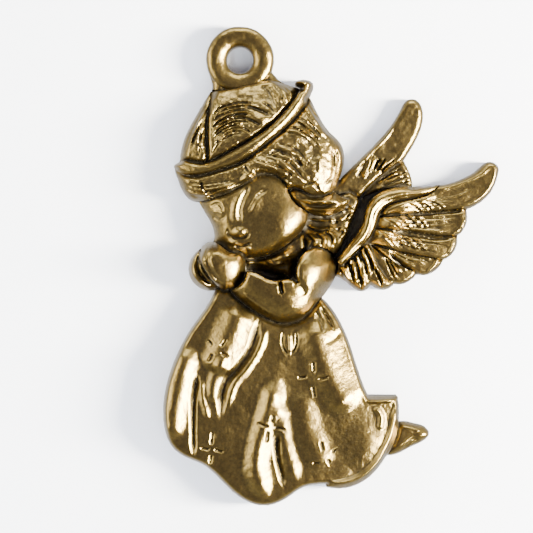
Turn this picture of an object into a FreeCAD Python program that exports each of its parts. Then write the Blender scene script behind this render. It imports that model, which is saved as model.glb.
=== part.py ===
import FreeCAD, Part
import Sketcher
import math
import os

# A flat-backed cast metal angel charm, in millimetres.
# X runs left to right as seen from the front, Z is up, and Y runs from the front to the flat back.
# The origin is the centre of the hanging hole. The back is the plane y = back_plane, and every
# relief height is measured from it towards -Y.

SIZES = [
    ("back_plane", 0.95),
    ("eye_radius", 2.55),
    ("hole_radius", 0.98),
    ("eye_thickness", 1.9),
    ("eye_outer_round", 0.75),
    ("eye_inner_round", 0.3),
    ("crown_height", 3.4),
    ("lock_height", 3.0),
    ("halo_height", 3.9),
    ("fringe_height", 3.6),
    ("back_hair_height", 3.8),
    ("nape_height", 3.2),
    ("face_height", 4.0),
    ("collar_height", 2.8),
    ("arm_height", 4.6),
    ("near_hand_height", 4.2),
    ("far_hand_height", 3.5),
    ("skirt_height", 3.6),
    ("hem_height", 2.4),
    ("foot_height", 1.6),
    ("ridge_height", 3.0),
    ("leading_feather_height", 1.9),
    ("feather_height", 2.1),
    ("down_height", 2.4),
    ("far_wing_height", 1.5),
    ("far_feather_height", 1.1),
    ("web_height", 0.8),
    ("shoulder_height", 2.2),
    ("big_round", 0.8),
    ("middle_round", 0.6),
    ("small_round", 0.3),
    ("fold_depth", 0.6),
    ("stamp_depth", 0.3),
    ("barb_depth", 0.25),
]

# Each outline is a closed chain of smooth runs through (x, z) points. Runs meet at corners.
# Where an element passes behind another, its run carries on under it and is cut away later.
OUTLINES = {
    "crown_hair": [
        [(-2.1, -2.2), (0.0, -2.05), (2.6, -1.6), (3.4, -1.8), (4.6, -2.2)],
        [(4.6, -2.2), (4.2, -3.6), (2.4, -5.4), (0.0, -7.2), (-2.4, -8.0)],
        [(-2.4, -8.0), (-2.5, -6.3), (-2.5, -4.8), (-2.3, -3.4), (-2.1, -2.2)],
    ],
    "side_lock": [
        [(-2.1, -2.2), (-2.6, -3.0), (-3.3, -4.2), (-4.0, -5.5), (-4.4, -6.8), (-4.5, -7.9)],
        [(-4.5, -7.9), (-3.2, -8.2), (-1.8, -8.0)],
        [(-1.8, -8.0), (-1.7, -5.0), (-2.1, -2.2)],
    ],
    "halo": [
        [(-5.0, -8.0), (-4.4, -7.6), (-3.0, -7.8), (-1.1, -7.2), (0.9, -6.1), (2.8, -4.6), (4.6, -2.1)],
        [(4.6, -2.1), (4.1, -1.7), (5.0, -1.5), (5.5, -2.1)],
        [(5.5, -2.1), (3.7, -4.9), (2.1, -6.3), (0.3, -7.6), (-1.8, -8.4), (-3.8, -8.7), (-5.0, -8.0)],
    ],
    "fringe": [
        [(-4.9, -8.2), (-4.4, -9.6), (-3.8, -10.4), (-3.0, -10.6)],
        [(-3.0, -10.6), (-1.6, -10.3), (-0.4, -9.8), (0.6, -9.2), (1.2, -8.7)],
        [(1.2, -8.7), (1.3, -6.5)],
        [(1.3, -6.5), (-1.0, -7.6), (-3.2, -8.2), (-4.9, -8.2)],
    ],
    "back_hair": [
        [(1.2, -8.7), (1.3, -6.5)],
        [(1.3, -6.5), (2.4, -5.6), (3.3, -4.7), (4.2, -3.6), (5.0, -2.3)],
        [(5.0, -2.3), (5.8, -4.0), (6.8, -5.5), (7.5, -6.2), (7.8, -7.4), (7.5, -8.7), (6.9, -9.9)],
        [(6.9, -9.9), (6.0, -10.3), (5.2, -10.1), (4.4, -9.7), (3.5, -9.8)],
        [(3.5, -9.8), (2.9, -8.9), (2.2, -8.6), (1.2, -8.7)],
    ],
    "nape_curl": [
        [(3.5, -9.6), (4.1, -10.8), (4.8, -11.3), (5.8, -11.7), (6.9, -11.6), (7.7, -11.2), (8.2, -10.5)],
        [(8.2, -10.5), (7.4, -10.2), (6.8, -9.6)],
        [(6.8, -9.6), (5.2, -9.3), (3.5, -9.6)],
    ],
    "face": [
        [(-3.2, -10.2), (-2.5, -11.6), (-2.0, -12.6), (-2.0, -13.8)],
        [(-2.0, -13.8), (-0.6, -14.6), (1.3, -14.8), (2.6, -14.4), (3.9, -13.5), (4.8, -12.5), (5.1, -11.2)],
        [(5.1, -11.2), (4.0, -9.4), (2.6, -8.2), (0.8, -8.0), (-1.5, -9.0), (-3.2, -10.2)],
    ],
    "collar": [
        [(0.0, -14.2), (1.3, -14.4), (3.2, -13.6), (4.6, -12.6)],
        [(4.6, -12.6), (5.0, -14.0), (4.6, -15.6), (3.8, -16.4), (2.4, -16.6), (0.4, -15.9)],
        [(0.4, -15.9), (0.0, -14.2)],
    ],
    "near_arm": [
        [(-0.8, -17.2), (0.0, -18.0), (1.6, -19.1), (3.1, -19.7), (4.6, -19.4), (5.8, -18.2), (7.0, -16.5),
         (7.3, -15.2), (6.6, -14.2), (5.3, -14.1), (4.5, -14.8), (4.4, -16.8)],
        [(4.4, -16.8), (3.4, -16.4), (2.4, -16.5), (1.3, -16.0), (0.6, -15.8)],
        [(0.6, -15.8), (0.2, -16.6), (-0.8, -17.2)],
    ],
    "near_hand": [
        [(-2.0, -13.6), (-2.9, -14.1), (-3.0, -14.8), (-2.6, -15.6), (-2.0, -16.5), (-1.2, -17.2)],
        [(-1.2, -17.2), (-0.1, -16.8), (0.4, -15.8), (0.4, -15.0), (0.0, -14.3)],
        [(0.0, -14.3), (-0.7, -14.4), (-1.3, -14.0), (-2.0, -13.6)],
    ],
    "far_hand": [
        [(-2.1, -13.8), (-3.2, -14.3), (-3.8, -15.3), (-3.7, -16.3), (-2.9, -17.1), (-1.4, -17.0)],
        [(-1.4, -17.0), (-1.6, -15.5), (-2.1, -13.8)],
    ],
    "skirt": [
        [(-1.9, -17.3), (-2.6, -18.6), (-3.6, -20.0), (-4.6, -21.8), (-5.3, -23.6), (-5.7, -25.6),
         (-5.6, -27.6), (-5.2, -28.7), (-4.2, -29.6), (-2.8, -30.2), (-1.4, -31.4), (0.2, -32.8),
         (1.7, -33.3), (3.4, -32.8), (4.8, -31.9), (5.8, -31.7), (6.8, -31.7)],
        [(6.8, -31.7), (8.6, -29.5), (10.2, -26.5), (10.2, -25.4)],
        [(10.2, -25.4), (9.6, -25.1)],
        [(9.6, -25.1), (8.9, -23.4), (8.2, -21.2), (7.4, -19.4), (6.2, -17.8)],
        [(6.2, -17.8), (4.0, -18.6), (1.5, -18.2), (0.0, -17.2), (-1.2, -16.9), (-1.9, -17.3)],
    ],
    "turned_hem": [
        [(9.6, -25.1), (10.7, -25.1), (11.8, -25.1)],
        [(11.8, -25.1), (11.9, -26.5), (11.7, -28.0), (10.9, -29.7), (9.4, -31.4), (8.0, -32.0), (6.4, -31.9)],
        [(6.4, -31.9), (6.9, -29.6), (7.9, -27.6), (9.6, -25.1)],
    ],
    "foot": [
        [(11.2, -27.6), (12.4, -27.1), (13.3, -27.3), (13.9, -27.5), (14.2, -28.0), (13.8, -28.5),
         (12.8, -29.0), (11.8, -29.5), (10.6, -29.6)],
        [(10.6, -29.6), (11.2, -27.6)],
    ],
    "wing_ridge": [
        [(6.9, -15.3), (8.2, -13.7), (9.1, -12.3), (9.5, -10.9), (10.5, -9.9), (12.8, -9.5), (15.0, -9.3)],
        [(15.0, -9.3), (13.9, -10.2), (12.0, -10.6), (10.7, -11.2), (10.1, -12.6), (9.0, -14.1), (7.6, -15.4)],
        [(7.6, -15.4), (6.9, -15.3)],
    ],
    "leading_feather": [
        [(13.6, -10.0), (15.0, -9.32)],
        [(15.0, -9.32), (16.6, -8.9), (17.8, -8.2), (18.7, -7.6), (19.3, -7.9), (19.3, -8.7),
         (18.7, -10.0), (17.8, -10.8), (16.9, -11.2)],
        [(16.9, -11.2), (15.0, -11.3), (13.2, -11.5), (10.0, -11.8)],
        [(10.0, -11.8), (10.6, -10.8), (12.0, -10.2), (13.6, -10.0)],
    ],
    "second_feather": [
        [(10.2, -10.9), (13.2, -10.8), (16.0, -10.4)],
        [(16.0, -10.4), (17.0, -11.4), (16.9, -12.4), (16.2, -13.2)],
        [(16.2, -13.2), (14.0, -13.1), (11.8, -12.8), (9.6, -12.7)],
        [(9.6, -12.7), (10.2, -10.9)],
    ],
    "third_feather": [
        [(9.7, -12.0), (13.0, -12.2), (15.6, -12.5)],
        [(15.6, -12.5), (16.3, -13.5), (15.9, -14.5), (15.1, -15.0)],
        [(15.1, -15.0), (13.0, -14.6), (11.2, -14.2), (9.0, -13.6)],
        [(9.0, -13.6), (9.7, -12.0)],
    ],
    "fourth_feather": [
        [(10.0, -13.2), (12.4, -13.8), (14.6, -14.2)],
        [(14.6, -14.2), (15.2, -15.0), (14.7, -15.7), (13.9, -16.1), (13.1, -15.9)],
        [(13.1, -15.9), (11.8, -15.3), (10.6, -14.6), (9.6, -13.6)],
        [(9.6, -13.6), (10.0, -13.2)],
    ],
    "fifth_feather": [
        [(9.7, -13.7), (11.6, -14.6), (13.0, -15.2)],
        [(13.0, -15.2), (13.2, -16.0), (12.6, -16.6), (11.9, -16.8), (11.2, -16.5)],
        [(11.2, -16.5), (10.3, -15.4), (9.7, -13.7)],
    ],
    "wing_down": [
        [(9.5, -12.8), (11.2, -15.0), (11.9, -16.2)],
        [(11.9, -16.2), (10.8, -17.2), (9.8, -16.8)],
        [(9.8, -16.8), (9.0, -17.3), (8.2, -16.8), (7.2, -16.2)],
        [(7.2, -16.2), (6.8, -15.7), (7.4, -15.2), (8.6, -13.9), (9.5, -12.8)],
    ],
    "far_wing": [
        [(7.4, -9.0), (8.8, -7.6), (10.3, -6.1), (11.4, -4.8), (12.1, -3.6), (12.5, -3.0), (13.1, -2.9),
         (13.6, -3.4), (13.7, -4.6), (13.2, -6.0), (12.3, -7.5)],
        [(12.3, -7.5), (11.2, -8.2), (10.2, -9.0), (9.0, -10.3)],
        [(9.0, -10.3), (8.0, -10.6), (7.0, -10.2), (7.4, -9.0)],
    ],
    "far_feather": [
        [(10.0, -8.6), (12.2, -7.3)],
        [(12.2, -7.3), (12.6, -8.1), (12.9, -9.0), (12.8, -9.8)],
        [(12.8, -9.8), (10.9, -9.7), (9.2, -10.3)],
        [(9.2, -10.3), (10.0, -8.6)],
    ],
    "wing_web": [
        [(12.8, -9.2), (10.6, -9.3), (9.0, -9.9), (8.2, -11.6), (7.4, -13.2), (6.4, -14.4)],
        [(6.4, -14.4), (7.3, -14.9), (8.8, -13.5), (9.5, -11.6), (10.6, -10.3), (12.8, -9.8)],
        [(12.8, -9.8), (12.8, -9.2)],
    ],
    "shoulder_feathers": [
        [(4.6, -11.0), (4.9, -12.6), (4.4, -14.0), (5.2, -15.0)],
        [(5.2, -15.0), (6.8, -14.9)],
        [(6.8, -14.9), (7.9, -13.4), (8.4, -12.0), (8.9, -10.6), (8.2, -9.9)],
        [(8.2, -9.9), (6.0, -10.6), (4.6, -11.0)],
    ],
}

# node: (height, edge rounding or None, the elements that lie in front of it)
ELEMENTS = {
    "halo": ("halo_height", None, []),
    "crown_hair": ("crown_height", "middle_round", ["halo"]),
    "side_lock": ("lock_height", None, ["crown_hair", "halo"]),
    "fringe": ("fringe_height", "middle_round", ["halo"]),
    "back_hair": ("back_hair_height", "middle_round", ["halo"]),
    "nape_curl": ("nape_height", "middle_round", ["back_hair"]),
    "near_hand": ("near_hand_height", "middle_round", []),
    "far_hand": ("far_hand_height", "middle_round", ["near_hand"]),
    "face": ("face_height", "big_round", ["fringe", "back_hair", "nape_curl", "near_hand"]),
    "near_arm": ("arm_height", "big_round", []),
    "collar": ("collar_height", "middle_round", ["face", "near_arm", "near_hand"]),
    "turned_hem": ("hem_height", "middle_round", []),
    "skirt": ("skirt_height", "big_round", ["turned_hem", "near_arm", "near_hand", "far_hand"]),
    "foot": ("foot_height", "small_round", ["turned_hem"]),
    "wing_ridge": ("ridge_height", "small_round", ["near_arm"]),
    "leading_feather": ("leading_feather_height", None, ["wing_ridge"]),
    "second_feather": ("feather_height", None, ["leading_feather", "wing_ridge"]),
    "third_feather": ("feather_height", None, ["second_feather", "wing_ridge"]),
    "fourth_feather": ("feather_height", None, ["third_feather"]),
    "fifth_feather": ("feather_height", None, ["fourth_feather", "third_feather"]),
    "wing_down": ("down_height", None,
                  ["fifth_feather", "fourth_feather", "third_feather", "wing_ridge", "near_arm"]),
    "shoulder_feathers": ("shoulder_height", None,
                          ["face", "nape_curl", "collar", "near_arm"]),
    "far_wing": ("far_wing_height", "small_round", ["back_hair", "nape_curl", "shoulder_feathers"]),
    "far_feather": ("far_feather_height", None, ["far_wing", "wing_ridge"]),
    "wing_web": ("web_height", None,
                 ["shoulder_feathers", "near_arm", "wing_ridge", "far_wing", "far_feather"]),
}

# Grooves between the skirt's folds: a centre line from waist to hem, and the groove's half width.
SKIRT_GROOVES = [
    ([(-2.9, -21.5), (-3.4, -24.5), (-3.7, -28.6)], 0.2),
    ([(1.3, -19.9), (0.4, -21.8), (-0.6, -23.6), (-1.3, -25.8), (-1.6, -28.8)], 0.2),
    ([(2.1, -20.6), (2.3, -24.0), (2.5, -27.6), (3.1, -30.9)], 0.2),
    ([(4.0, -20.8), (4.4, -25.4), (4.8, -30.2)], 0.7),
    ([(5.9, -20.4), (6.7, -24.0), (7.3, -27.0)], 0.25),
]

# Four-petalled stars stamped in the skirt: centre and turn in degrees.
STARS = [
    ((-1.7, -21.6), 45.0),
    ((5.4, -23.8), 0.0),
    ((2.3, -27.3), 15.0),
    ((-2.1, -28.9), 0.0),
    ((6.3, -29.4), 30.0),
]
PETAL_REACH = 0.75
PETAL_HALF_LENGTH = 0.42
PETAL_HALF_WIDTH = 0.2


def spot(x, z):
    return FreeCAD.Vector(x, z, 0.0)


def add_run(sketch, points):
    """Adds one smooth run of an outline to a sketch."""
    if len(points) == 2:
        sketch.addGeometry(Part.LineSegment(spot(*points[0]), spot(*points[1])), False)
        return
    curve = Part.BSplineCurve()
    curve.interpolate([spot(x, z) for x, z in points])
    sketch.addGeometry(curve, False)


def new_sketch(body, name):
    """Makes a sketch on the body's XZ plane, so that its x is X and its y is Z."""
    plane = [item for item in body.Origin.OriginFeatures if item.Role == "XZ_Plane"][0]
    sketch = body.newObject("Sketcher::SketchObject", name)
    sketch.AttachmentSupport = (plane, [""])
    sketch.MapMode = "FlatFace"
    return sketch


def new_body(doc, label):
    body = doc.addObject("PartDesign::Body", label)
    body.Label = label
    body.setExpression("Placement.Base.y", "Sizes.back_plane")
    return body


def cut_forward(body, sketch, name):
    """Cuts everything in front of a sketch's plane, and makes sure that something was cut."""
    before = body.Shape.Volume
    pocket = body.newObject("PartDesign::Pocket", name)
    pocket.Profile = sketch
    pocket.Type = "ThroughAll"
    pocket.Reversed = True
    body.Document.recompute()
    if not pocket.Shape.Volume < before:
        raise RuntimeError(name + " cut nothing")


def cut_under(body, other):
    """Takes away what lies behind another element's outline."""
    sketch = new_sketch(body, body.Label + "_under_" + other)
    for run in OUTLINES[other]:
        add_run(sketch, run)
    cut_forward(body, sketch, body.Label + "_less_" + other)


def round_front(body, pad, alias):
    """Rounds the pad's front rim."""
    reach = -pad.Length.Value
    rim = [
        "Edge%d" % (index + 1)
        for index, edge in enumerate(pad.Shape.Edges)
        if abs(edge.BoundBox.YMin - reach) < 0.001 and abs(edge.BoundBox.YMax - reach) < 0.001
    ]
    fillet = body.newObject("PartDesign::Fillet", body.Label + "_round")
    fillet.Base = (pad, rim)
    fillet.setExpression("Radius", "Sizes." + alias)
    body.Document.recompute()
    return fillet


def relief(doc, label):
    """One sculpted element: a padded outline with a rounded rim, less the elements in front of it."""
    height, rounding, in_front = ELEMENTS[label]
    body = new_body(doc, label)
    sketch = new_sketch(body, label + "_outline")
    for run in OUTLINES[label]:
        add_run(sketch, run)
    pad = body.newObject("PartDesign::Pad", label + "_pad")
    pad.Profile = sketch
    pad.setExpression("Length", "Sizes." + height)
    doc.recompute()
    if rounding:
        round_front(body, pad, rounding)
    for other in in_front:
        cut_under(body, other)
    return body


def groove_sides(centre, half_width):
    """A slim spindle round a centre line: its two sides, each a run from one end to the other."""
    sides = []
    for hand in (1.0, -1.0):
        side = [centre[0]]
        for before, here, after in zip(centre, centre[1:], centre[2:]):
            dx = after[0] - before[0]
            dz = after[1] - before[1]
            length = math.hypot(dx, dz)
            side.append((here[0] - hand * half_width * dz / length, here[1] + hand * half_width * dx / length))
        side.append(centre[-1])
        sides.append(side)
    return sides


def raise_sketch(sketch, height, depth):
    """Lifts a sketch to depth below the element's front."""
    sketch.setExpression("AttachmentOffset.Base.z", "Sizes.%s - Sizes.%s" % (height, depth))


def fold_skirt(skirt):
    """Cuts the grooves between the folds, then stamps the stars."""
    for number, (centre, half_width) in enumerate(SKIRT_GROOVES, 1):
        sketch = new_sketch(skirt, "fold_%d_outline" % number)
        for side in groove_sides(centre, half_width):
            add_run(sketch, side)
        raise_sketch(sketch, "skirt_height", "fold_depth")
        cut_forward(skirt, sketch, "fold_%d" % number)
    for number, (centre, turn) in enumerate(STARS, 1):
        sketch = new_sketch(skirt, "star_%d_outline" % number)
        for quarter in range(4):
            angle = math.radians(turn + 90.0 * quarter)
            along = (math.cos(angle), math.sin(angle))
            middle = (centre[0] + PETAL_REACH * along[0], centre[1] + PETAL_REACH * along[1])
            tip = (middle[0] + PETAL_HALF_LENGTH * along[0], middle[1] + PETAL_HALF_LENGTH * along[1])
            side = (middle[0] - PETAL_HALF_WIDTH * along[1], middle[1] + PETAL_HALF_WIDTH * along[0])
            sketch.addGeometry(Part.Ellipse(spot(*tip), spot(*side), spot(*middle)), False)
        raise_sketch(sketch, "skirt_height", "stamp_depth")
        cut_forward(skirt, sketch, "star_%d" % number)


def suspension_eye(doc, sheet):
    """A thick ring with a hole through it along Y, rounded inside and out. The hair covers its foot."""
    body = new_body(doc, "suspension_eye")
    sketch = new_sketch(body, "eye_outline")
    centre = FreeCAD.Vector(0, 0, 0)
    normal = FreeCAD.Vector(0, 0, 1)
    sketch.addGeometry(Part.Circle(centre, normal, sheet.eye_radius), False)
    sketch.addGeometry(Part.Circle(centre, normal, sheet.hole_radius), False)
    for index, alias in ((0, "eye_radius"), (1, "hole_radius")):
        sketch.addConstraint(Sketcher.Constraint("Coincident", index, 3, -1, 1))
        number = sketch.addConstraint(Sketcher.Constraint("Radius", index, getattr(sheet, alias)))
        sketch.setExpression("Constraints[%d]" % number, "Sizes." + alias)
    pad = body.newObject("PartDesign::Pad", "eye_pad")
    pad.Profile = sketch
    pad.setExpression("Length", "Sizes.eye_thickness")
    doc.recompute()
    for name, alias, size in (
        ("eye_outer_rims", "eye_outer_round", "eye_radius"),
        ("eye_inner_rims", "eye_inner_round", "hole_radius"),
    ):
        shape = body.Tip.Shape
        rims = [
            "Edge%d" % (index + 1)
            for index, edge in enumerate(shape.Edges)
            if isinstance(edge.Curve, Part.Circle) and abs(edge.Curve.Radius - getattr(sheet, size)) < 0.001
            and abs(edge.Curve.Axis.y) > 0.99
        ]
        fillet = body.newObject("PartDesign::Fillet", name)
        fillet.Base = (body.Group[-2], rims)
        fillet.setExpression("Radius", "Sizes." + alias)
        doc.recompute()
    cut_under(body, "crown_hair")
    return body


def main():
    doc = FreeCAD.newDocument("angel_charm")
    sheet = doc.addObject("Spreadsheet::Sheet", "Sizes")
    for row, (alias, value) in enumerate(SIZES, 1):
        sheet.set("A%d" % row, alias)
        sheet.set("B%d" % row, str(value))
        sheet.setAlias("B%d" % row, alias)
    doc.recompute()
    pieces = [suspension_eye(doc, sheet)]
    for label in ELEMENTS:
        piece = relief(doc, label)
        if label == "skirt":
            fold_skirt(piece)
        pieces.append(piece)
    doc.recompute()
    for item in doc.Objects:
        if "Invalid" in item.State or "Error" in item.State:
            raise RuntimeError(item.Name + " failed to compute")
    os.makedirs("parts", exist_ok=True)
    for piece in pieces:
        shape = piece.Shape
        if shape.isNull() or not shape.isValid() or not shape.Solids:
            raise RuntimeError(piece.Label + " isn't a valid solid")
        shape.exportStep("parts/" + piece.Label + ".step")
        print(piece.Label, len(shape.Solids), round(shape.Volume, 2), shape.BoundBox)


main()
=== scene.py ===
import math
from collections import namedtuple

import bpy
import numpy as np
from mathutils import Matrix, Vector


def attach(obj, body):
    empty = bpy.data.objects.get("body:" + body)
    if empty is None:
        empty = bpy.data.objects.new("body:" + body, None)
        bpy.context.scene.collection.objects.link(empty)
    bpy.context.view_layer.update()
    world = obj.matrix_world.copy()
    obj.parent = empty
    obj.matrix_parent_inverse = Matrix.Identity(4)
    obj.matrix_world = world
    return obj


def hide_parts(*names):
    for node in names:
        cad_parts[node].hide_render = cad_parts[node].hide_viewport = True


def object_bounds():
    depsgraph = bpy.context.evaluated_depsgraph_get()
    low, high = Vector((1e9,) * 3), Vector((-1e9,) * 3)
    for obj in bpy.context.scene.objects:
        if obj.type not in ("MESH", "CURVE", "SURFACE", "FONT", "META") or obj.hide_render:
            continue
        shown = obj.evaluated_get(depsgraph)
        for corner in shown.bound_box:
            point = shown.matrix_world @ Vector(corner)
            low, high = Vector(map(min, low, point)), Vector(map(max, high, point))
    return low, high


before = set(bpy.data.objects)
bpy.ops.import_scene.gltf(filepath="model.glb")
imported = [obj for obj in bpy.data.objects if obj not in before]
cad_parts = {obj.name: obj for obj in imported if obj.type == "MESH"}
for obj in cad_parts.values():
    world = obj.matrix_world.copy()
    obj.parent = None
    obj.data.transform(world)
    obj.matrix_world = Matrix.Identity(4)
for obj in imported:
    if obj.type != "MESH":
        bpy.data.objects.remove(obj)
CAD_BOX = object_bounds()

# Everything below is worked out in millimetres, in the frame's own axes, and scaled on the way out.
MM = 0.001
# The plane of the flat back, and how far a point on it may be off it.
BACK = CAD_BOX[1][1] / MM
FLAT = 0.002
# Spacing of the grid that the relief is sculpted on.
STEP = 0.06
# How far an element carries on under the neighbour in front of it.
TUCK = 0.18
# Grid points this near to a free border are moved onto it.
SNAP = 0.7 * STEP
# Rims further than this from an element don't round it.
RIM_REACH = 1.3
# Clearance between a tucked border and the neighbour above it, in front and at the flat back.
TUCK_CLEARANCE = 0.05
FLUSH_CLEARANCE = 0.004
TUCKED_BASE_LIFT = 0.06
LEAST_HEIGHT = 0.3


# ---- shapes ----

# Each sculpted element, from the rearmost to the foremost.
# top: height of its surface above the back, or the dome or band that it follows, with any offset.
# edge: width and depth of the rounding where it stands above a neighbour.
# rim: width of the rounding at the outer silhouette and the height it comes down to.
# crease: depth of the furrow where it runs in under a neighbour.
# rough: height of the cast surface's fine unevenness.
# tarnish: patina it has beyond what its hollows keep.
# crisp: neighbours that the element stands above with a tight edge.
# flush: a neighbour that carries the same surface on, with no step between them.
Look = namedtuple("Look", "top edge rim crease rough tarnish crisp flush", defaults=(0, (), None))
ELEMENTS = {
    "eye_foot": Look(1.55, (0.5, 0.3), (0.5, 0.9), 0.1, 0.02, tarnish=0.04),
    "wing_web": Look(0.75, (0.3, 0.2), (0.3, 0.5), 0.1, 0.02, tarnish=0.1),
    "far_feather": Look(1.05, (0.3, 0.35), (0.35, 0.6), 0.15, 0.02, tarnish=0.1),
    "far_wing": Look(1.4, (0.35, 0.5), (0.45, 0.7), 0.2, 0.02, tarnish=0.1),
    "foot": Look(1.6, (0.6, 0.7), (0.7, 0.6), 0.2, 0.012),
    "turned_hem": Look("skirt", (0.5, 0.6), (0.4, 1.1), 0.0, 0.012, tarnish=0.06, flush="skirt"),
    "fifth_feather": Look(1.75, (0.3, 0.5), (0.35, 0.9), 0.08, 0.02, tarnish=0.05),
    "fourth_feather": Look(1.7, (0.3, 0.45), (0.35, 0.9), 0.08, 0.02, tarnish=0.07),
    "third_feather": Look(1.75, (0.3, 0.45), (0.35, 0.9), 0.08, 0.02, tarnish=0.07),
    "second_feather": Look(1.8, (0.3, 0.45), (0.35, 0.9), 0.08, 0.02, tarnish=0.07),
    "leading_feather": Look(1.8, (0.35, 0.4), (0.4, 0.9), 0.08, 0.015, tarnish=0.07),
    "shoulder_feathers": Look(1.9, (0.4, 0.6), (0.4, 1.0), 0.06, 0.03, tarnish=0.08),
    "wing_down": Look(2.2, (0.4, 0.6), (0.5, 0.9), 0.2, 0.03),
    "wing_ridge": Look("ridge", (0.55, 0.8), (0.45, 1.0), 0.0, 0.015),
    "skirt": Look("skirt", (0.7, 0.8), (0.4, 1.3), 0.25, 0.012, flush="turned_hem"),
    "collar": Look(2.3, (0.5, 0.5), (0.5, 1.0), 0.5, 0.025, tarnish=0.08),
    "far_hand": Look(3.2, (0.8, 1.0), (0.9, 1.1), 0.2, 0.006),
    "face": Look("face", (0.9, 0.9), (1.3, 1.4), 0.12, 0.012),
    "near_hand": Look("hand", (0.7, 0.8), (1.0, 1.3), 0.2, 0.01),
    "near_arm": Look("arm", (2.0, 1.8), (1.4, 1.3), 0.15, 0.012,
                     crisp=("collar", "shoulder_feathers", "face", "near_hand")),
    "nape_curl": Look(3.0, (0.6, 0.9), (0.6, 1.2), 0.4, 0.02, tarnish=0.05),
    "back_hair": Look(("head", 0.2), (0.6, 0.9), (0.8, 1.2), 0.5, 0.055, tarnish=0.08, flush="fringe"),
    "crown_hair": Look(("head", 0.0), (0.3, 0.45), (0.7, 1.1), 0.55, 0.045, tarnish=0.1),
    "side_lock": Look(("head", 0.05), (0.35, 0.6), (0.7, 1.0), 0.55, 0.03, tarnish=0.1),
    "fringe": Look(("head", 0.2), (0.8, 0.6), (0.7, 1.0), 0.5, 0.045, tarnish=0.1, flush="back_hair"),
    "halo": Look("halo", (0.48, 0.6), (0.48, 0.9), 0.0, 0.015),
}
# Width and depth of the rounding at a crisp border.
CRISP = (0.3, 0.4)
# Half width of the furrow where an element runs in under a neighbour.
CREASE_WIDTH = 0.2
# Unevenness of every surface, and of the rough parts of it: height or share, size of its features, seed.
WAVES = [(0.06, 2.6, 2), (0.03, 1.1, 3)]
ROUGHNESS = [(1.0, 0.42, 4), (0.7, 0.21, 5)]
RANK = {name: k for k, name in enumerate(ELEMENTS)}

# Broad domes: centre, half sizes, height at the border, and rise in the middle.
DOMES = {
    "head": ((1.65, -8.2), (6.9, 7.0), 1.2, 2.45),
    "face": ((1.6, -11.7), (4.6, 4.4), 1.7, 2.2),
    "arm": ((2.6, -17.2), (5.3, 4.6), 2.3, 2.0),
    "hand": ((-1.5, -15.3), (2.2, 2.2), 2.4, 2.0),
    "skirt": ((2.1, -25.0), (10.5, 11.5), 1.9, 1.1),
}
# Bands whose height follows x: (x, height).
SPINES = {
    "halo": [(-5.0, 2.3), (-3.5, 2.95), (-1.5, 3.6), (0.5, 3.95), (2.5, 3.85), (4.2, 3.3), (5.5, 2.5)],
    "ridge": [(7.0, 2.9), (9.0, 2.75), (10.5, 2.4), (12.5, 2.2), (15.0, 1.95)],
}

# The flares that join the hanging eye to the hair. Their lower end is tucked under the hair.
EYE_FOOT = [
    [(-2.5, -0.5), (-2.25, -1.2), (-2.05, -2.0), (-2.2, -2.6)],
    [(-2.2, -2.6), (0.0, -2.8), (3.3, -2.4)],
    [(3.3, -2.4), (3.55, -1.9), (3.05, -1.6), (2.7, -1.25), (2.4, -0.8), (2.5, 0.0)],
    [(2.5, 0.0), (0.0, -1.2), (-2.5, -0.5)],
]

# Soft mounds and hollows on each element: centre, half sizes, turn in degrees, height.
MOUNDS = {
    "face": [
        ((3.2, -12.3), (2.2, 2.0), 0, 0.3),
        ((0.0, -12.9), (0.7, 0.5), 10, 0.24),
        ((1.1, -10.9), (0.7, 1.1), -30, 0.12),
        ((-1.7, -11.4), (0.6, 0.9), 0, -0.12),
        ((-0.5, -13.7), (0.6, 0.3), -10, 0.2),
        ((0.5, -14.1), (0.6, 0.3), -15, 0.16),
        ((-1.4, -13.9), (1.1, 0.9), 0, -0.45),
    ],
    "back_hair": [
        ((5.7, -7.9), (1.3, 2.2), -8, 0.45),
        ((5.5, -7.4), (0.7, 1.6), 10, -0.22),
        ((1.6, -8.0), (1.3, 0.8), -20, 0.25),
        ((3.4, -7.6), (1.3, 0.7), -25, 0.15),
        ((4.6, -5.4), (1.5, 0.7), 45, 0.15),
    ],
    "nape_curl": [((6.3, -10.6), (1.5, 0.8), -10, 0.45), ((7.0, -10.8), (0.8, 0.6), 0, 0.25)],
    "shoulder_feathers": [((6.2, -13.7), (2.0, 1.5), 20, 1.3)],
    "crown_hair": [
        ((3.4, -3.0), (1.5, 1.2), -30, 0.25),
        ((1.3, -4.4), (1.4, 0.7), -15, 0.20),
        ((2.2, -2.9), (0.7, 1.2), 10, -0.20),
    ],
    "fringe": [((0.8, -8.8), (1.0, 0.7), 25, 0.35), ((-0.9, -9.7), (0.9, 0.6), 10, 0.25)],
    "near_arm": [((4.9, -15.6), (1.5, 1.8), -15, 0.2)],
    "collar": [((3.3, -14.7), (1.1, 0.8), 25, 0.5), ((1.2, -15.2), (1.0, 0.8), 0, -0.4)],
    "leading_feather": [((16.2, -9.7), (2.6, 0.8), 20, -0.08), ((12.0, -11.2), (1.4, 0.8), 10, 0.35)],
    "second_feather": [((11.4, -12.2), (1.6, 1.2), 0, 0.6)],
    "third_feather": [((11.0, -13.1), (1.4, 1.2), 0, 0.6)],
    "fourth_feather": [((11.0, -13.8), (1.2, 1.0), 0, 0.5)],
    "fifth_feather": [((10.8, -14.0), (1.2, 1.0), 0, 0.45)],
    "wing_down": [((9.8, -14.0), (1.8, 1.0), 45, 0.35)],
    "skirt": [
        ((9.6, -28.6), (2.2, 2.4), -25, 0.28),
        ((4.0, -24.4), (1.6, 2.6), 0, -0.12),
    ],
}

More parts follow.
